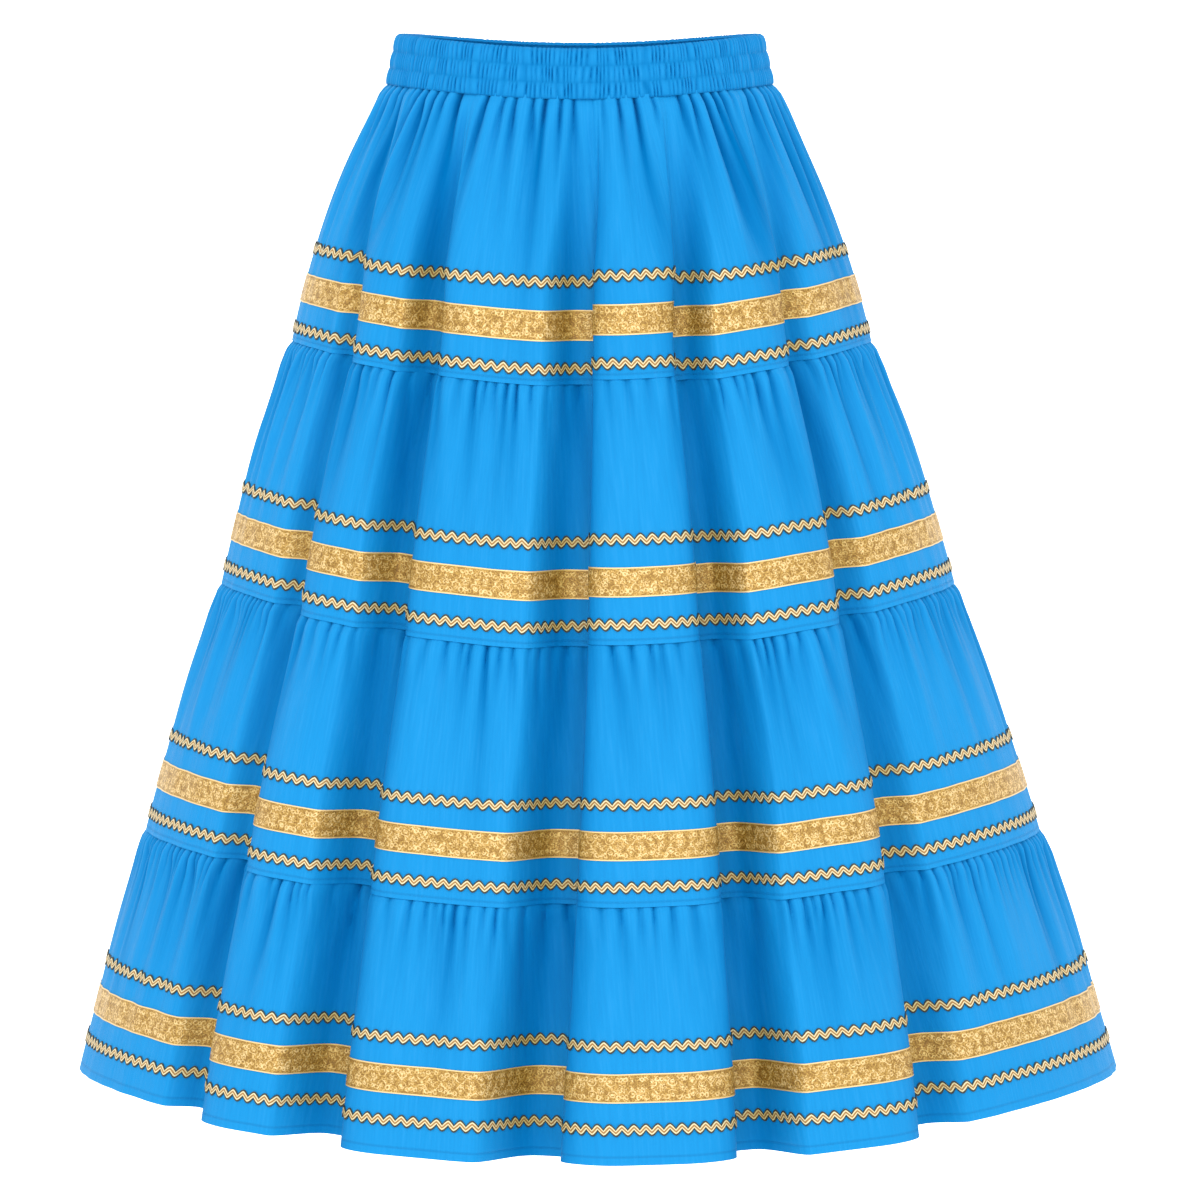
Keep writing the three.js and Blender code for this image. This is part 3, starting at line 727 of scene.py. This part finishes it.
def brocade_group():
    """Rosettes and facing scrolls in a mirrored, unevenly drawn repeat, between selvedges."""
    outputs = [("Motif", "Float"), ("Selvedge", "Float"), ("Height", "Float")]
    group, shader, start, end = new_group("brocade", [("Cut", "Vector")], outputs)
    place = shader.add("ShaderNodeSeparateXYZ", {0: start.outputs["Cut"]})
    edge_far = shader.math("ABSOLUTE", shader.math("MULTIPLY", place.outputs["Y"], MM_A_METRE))
    repeat = 7.3

    def uneven(axis, seed):
        """One axis in millimetres, drawn unevenly as in loose metallic threads."""
        shifted = {0: start.outputs["Cut"], 1: (seed, seed, 0.0)}
        moved = shader.add("ShaderNodeVectorMath", shifted, operation="ADD").outputs["Vector"]
        drift = shader.noise(moved, (260.0, 260.0), 1.0)
        drawn = shader.math("MULTIPLY_ADD", drift, 3.0, -1.5)
        return shader.math("MULTIPLY_ADD", place.outputs[axis], MM_A_METRE, drawn)

    x = shader.math("PINGPONG", uneven("X", 0.0), repeat)
    across = shader.math("ABSOLUTE", uneven("Y", 7.0))

    def away(centre_x, centre_y):
        side = shader.math("SUBTRACT", x, centre_x)
        high = shader.math("SUBTRACT", across, centre_y)
        square = shader.math("ADD", shader.math("POWER", side, 2.0), shader.math("POWER", high, 2.0))
        return shader.math("SQRT", square), shader.math("ARCTAN2", high, side)

    def line(distance, radius, half_width):
        off = shader.math("ABSOLUTE", shader.math("SUBTRACT", distance, radius))
        return shader.soft_step(off, half_width + 0.22, half_width - 0.12)

    far, turn = away(0.0, 0.0)
    petals = shader.math("MULTIPLY", shader.math("COSINE", shader.math("MULTIPLY", turn, 6.0)), 0.75)
    rosette = line(shader.math("SUBTRACT", far, petals), 2.3, 0.42)
    heart = shader.soft_step(far, 1.05, 0.65)
    curl, curl_turn = away(repeat, 4.3)
    winding = shader.math("MULTIPLY", curl_turn, 0.28)
    scroll = line(shader.math("ADD", curl, winding), 2.35, 0.36)
    bud = shader.soft_step(curl, 1.15, 0.8)
    stem_far, _ = away(3.1, 6.4)
    leaf = line(stem_far, 1.35, 0.4)
    dot_far, _ = away(repeat, 0.0)
    diamond = shader.soft_step(dot_far, 1.15, 0.8)
    tip_far, _ = away(0.0, 5.9)
    tip = line(tip_far, 1.2, 0.38)
    motif = rosette
    for other in (heart, scroll, bud, leaf, diamond, tip):
        motif = shader.math("MAXIMUM", motif, other)
    field = shader.soft_step(edge_far, 8.9, 8.6)
    motif = shader.math("MULTIPLY", motif, field)
    selvedge = shader.soft_step(edge_far, 9.2, 9.45)
    rib = shader.math("SINE", shader.math("MULTIPLY", place.outputs["X"], 2 * math.pi / 0.0009))
    height = shader.math("MULTIPLY_ADD", rib, 0.12, shader.math("MAXIMUM", motif, selvedge))
    shader.links.new(motif, end.inputs["Motif"])
    shader.links.new(selvedge, end.inputs["Selvedge"])
    shader.links.new(height, end.inputs["Height"])
    return group


def ribbon_material():
    """Gold metallic brocade: pale raised threads on a deeper, flecked ground, with painted glints in
    soft patches and painted shade in the folds.
    """
    material, shader, surface = new_material("gold_brocade")
    cut = shader.add("ShaderNodeUVMap").outputs["UV"]
    brocade = shader.add("ShaderNodeGroup", {0: cut}, node_tree=brocade_group())
    flecks = shader.noise(cut, (900.0, 900.0), 2.0, 0.6)
    # Painted glints: the tone is lighter and darker in soft patches, as sheen on the metal threads.
    glint = shader.soft_step(shader.noise(cut, (210.0, 150.0), 2.0), 0.3, 0.7)
    lit = shader.math("MULTIPLY_ADD", glint, 0.6, 0.2)
    ground = shader.math("MULTIPLY", shader.soft_step(flecks, 0.3, 0.7), lit)
    raised = shader.math("MULTIPLY", brocade.outputs["Motif"], lit)
    tone = shader.math("MAXIMUM", shader.math("ADD", ground, raised), brocade.outputs["Selvedge"])
    stops = [(0.0, GOLD_DEEP), (0.38, GOLD_MAIN), (0.95, GOLD_PALE)]
    # Painted shade in the folds, towards GOLD_SHADE.
    painted_shade = shader.add("ShaderNodeGroup", node_tree=FOLD_SHADE)
    shader.feed(painted_shade, {"Color": shader.colours(tone, stops), "Painted Shade Colour": GOLD_SHADE})
    shader.links.new(painted_shade.outputs["Color"], surface.inputs["Base Color"])
    normal = shader.bump(brocade.outputs["Height"], 0.00035, 0.8)
    shader.links.new(normal, surface.inputs["Normal"])
    surface.inputs["Metallic"].default_value = 0.35
    surface.inputs["Roughness"].default_value = 0.38
    return material


BROCADE = ribbon_material()
for tier in TIERS:
    centre = tier.ribbon_top - RIBBON_WIDTH / 2
    angles, gone = path_round(tier, centre)
    length = gone[-1]
    rows = len(RIBBON_SECTION) - 1
    columns = round(length / RIBBON_STEP)
    ribbon, share_round, share_up = grid_sheet(f"{tier.name}_brocade_ribbon", columns, rows)
    angle = np.interp(share_round * length, gone, angles)
    section = np.array(RIBBON_SECTION)[np.rint(share_up * rows).astype(int)]
    proud = TRIM_CLEARANCE + RIBBON_THICK * section[:, 1]
    across = section[:, 0] * RIBBON_WIDTH
    points, shade = tier_points(tier, angle, centre + across, proud)
    shape(ribbon, points, shade, share_round * length, across, True)
    dress(ribbon, BROCADE, "ribbon", f"{tier.name}_ribbon")

# Rickrack braids
# A flat gold braid woven in a zigzag, above and below each ribbon, sewn on through its middle.
# Its edges are pale, with a warmer stripe between them and a thin dark outline, which is partly a dark
# edge of the braid and partly painted shadow.

BRAID_HEIGHT = 9.3
BRAID_NOTCH = 3.9
BRAID_WAVE = 8.7
BRAID_THICK = 0.9
BRAID_GAP = 19.0
COLUMNS_A_WAVE = 10
# Points round the braid's section: share from its lower to its upper edge, its height as a
# share, and how far across the pattern is read, in millimetres.
BRAID_SECTION = [(0, 0, -3.0), (0, 0.7, -2.0), (0.5, 1, 0), (1, 0.7, 2.0), (1, 0, 3.0), (0, 0, 4.0)]
# How far the braid's pattern of colours reaches from its middle, and the step of its plait.
PATTERN_REACH = 4.0
PLAIT_STEP = 1.6

BRAID_PALE = (0.74, 0.66, 0.40)
BRAID_WARM = (0.36, 0.18, 0.045)
# The dark of its outline, partly the braid's own and partly painted shadow.
BRAID_DARK_EDGE_AND_SHADOW = (0.03, 0.035, 0.025)


def braid_material():
    """Gold rickrack: pale edges, a warm stripe down the middle and dark sides that are partly the
    braid's own and partly painted shadow, with painted shade in the folds.
    """
    material, shader, surface = new_material("gold_rickrack")
    cut = shader.add("ShaderNodeUVMap").outputs["UV"]
    place = shader.add("ShaderNodeSeparateXYZ", {0: cut})
    off = shader.math("ABSOLUTE", place.outputs["Y"])
    across = shader.math("MULTIPLY", off, MM_A_METRE / PATTERN_REACH)
    # The dark outline on its sloped edges and sides is partly the braid's dark edge and partly painted
    # shadow.
    stops = [(0.0, BRAID_WARM), (0.10, BRAID_WARM), (0.14, BRAID_PALE), (0.27, BRAID_PALE)]
    stops += [(0.31, BRAID_DARK_EDGE_AND_SHADOW), (1.0, BRAID_DARK_EDGE_AND_SHADOW)]
    # Painted shade in the folds, towards GOLD_SHADE.
    painted_shade = shader.add("ShaderNodeGroup", node_tree=FOLD_SHADE)
    shader.feed(painted_shade, {"Color": shader.colours(across, stops), "Painted Shade Colour": GOLD_SHADE})
    shader.links.new(painted_shade.outputs["Color"], surface.inputs["Base Color"])
    plait_right = shader.math("ADD", place.outputs["X"], place.outputs["Y"])
    plait_left = shader.math("SUBTRACT", place.outputs["X"], place.outputs["Y"])
    turns = 2 * math.pi / (PLAIT_STEP * MM)
    waves = [shader.math("SINE", shader.math("MULTIPLY", p, turns)) for p in (plait_right, plait_left)]
    normal = shader.bump(shader.math("MULTIPLY", *waves), 0.0002, 0.6)
    shader.links.new(normal, surface.inputs["Normal"])
    surface.inputs["Metallic"].default_value = 0.2
    surface.inputs["Roughness"].default_value = 0.5
    return material


RICKRACK = braid_material()
tier_braids = {tier.name: [] for tier in TIERS}
for tier in TIERS:
    ribbon_centre = tier.ribbon_top - RIBBON_WIDTH / 2
    for place, side in (("upper", 1), ("lower", -1)):
        centre = ribbon_centre + side * (RIBBON_WIDTH / 2 + BRAID_GAP)
        angles, gone = path_round(tier, centre)
        length = gone[-1]
        waves = round(length / BRAID_WAVE)
        rows = len(BRAID_SECTION) - 1
        name = f"{tier.name}_rickrack_{place}"
        braid, share_round, share_up = grid_sheet(name, waves * COLUMNS_A_WAVE, rows)
        angle = np.interp(share_round * length, gone, angles)
        turn = math.pi * waves * share_round
        upper_edge = BRAID_HEIGHT / 2 - BRAID_NOTCH * (1 - np.abs(np.cos(turn)))
        lower_edge = -BRAID_HEIGHT / 2 + BRAID_NOTCH * (1 - np.abs(np.sin(turn)))
        section = np.array(BRAID_SECTION)[np.rint(share_up * rows).astype(int)]
        high = blend(lower_edge, upper_edge, section[:, 0])
        proud = TRIM_CLEARANCE + BRAID_THICK * section[:, 1]
        points, shade = tier_points(tier, angle, centre + high, proud)
        shape(braid, points, shade, share_round * length, section[:, 2], True)
        dress(braid, RICKRACK, "braid", f"{tier.name}_braid_{place}")
        tier_braids[tier.name].append(braid)

# Studio
# A plain pale floor below the skirt and soft light from the front.

FLOOR_HEIGHT = -1.05
FLOOR_GLOW = 0.95
ROOM_LIGHT = 1.45
AIM = (0.0, 0.0, -0.4)
bpy.ops.object.select_all(action="DESELECT")
place = (0, 0, FLOOR_HEIGHT)
bpy.ops.mesh.primitive_circle_add(vertices=96, radius=120.0, fill_type="NGON", location=place)
floor = bpy.context.object
floor.name = "floor"
floor.visible_diffuse = False
floor.visible_glossy = False
pale, shader, surface = new_material("pale_floor")
surface.inputs["Base Color"].default_value = (0.9, 0.9, 0.9, 1.0)
surface.inputs["Roughness"].default_value = 0.9
surface.inputs["Emission Color"].default_value = (1.0, 1.0, 1.0, 1.0)
surface.inputs["Emission Strength"].default_value = FLOOR_GLOW
floor.data.materials.append(pale)
floor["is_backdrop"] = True

world = bpy.data.worlds.new("studio")
bpy.context.scene.world = world
world.use_nodes = True
world.node_tree.nodes["Background"].inputs["Color"].default_value = (1.0, 1.0, 1.0, 1.0)
world.node_tree.nodes["Background"].inputs["Strength"].default_value = ROOM_LIGHT

Lamp = namedtuple("Lamp", "name place size watts")
for lamp in (
    Lamp("key", (-1.2, -4.4, 1.5), 1.2, 35.0),
    Lamp("fill", (1.4, -4.4, 0.8), 1.2, 22.0),
):
    bpy.ops.object.light_add(type="AREA", location=lamp.place)
    light = bpy.context.object
    light.name = lamp.name
    light.data.size = lamp.size
    light.data.energy = lamp.watts
    aim = np.array(AIM) - np.array(lamp.place)
    level = math.hypot(aim[0], aim[1])
    light.rotation_euler = (math.pi / 2 + math.atan2(aim[2], level), 0, math.atan2(-aim[0], aim[1]))

bpy.context.scene.view_settings.view_transform = "Standard"

low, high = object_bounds()
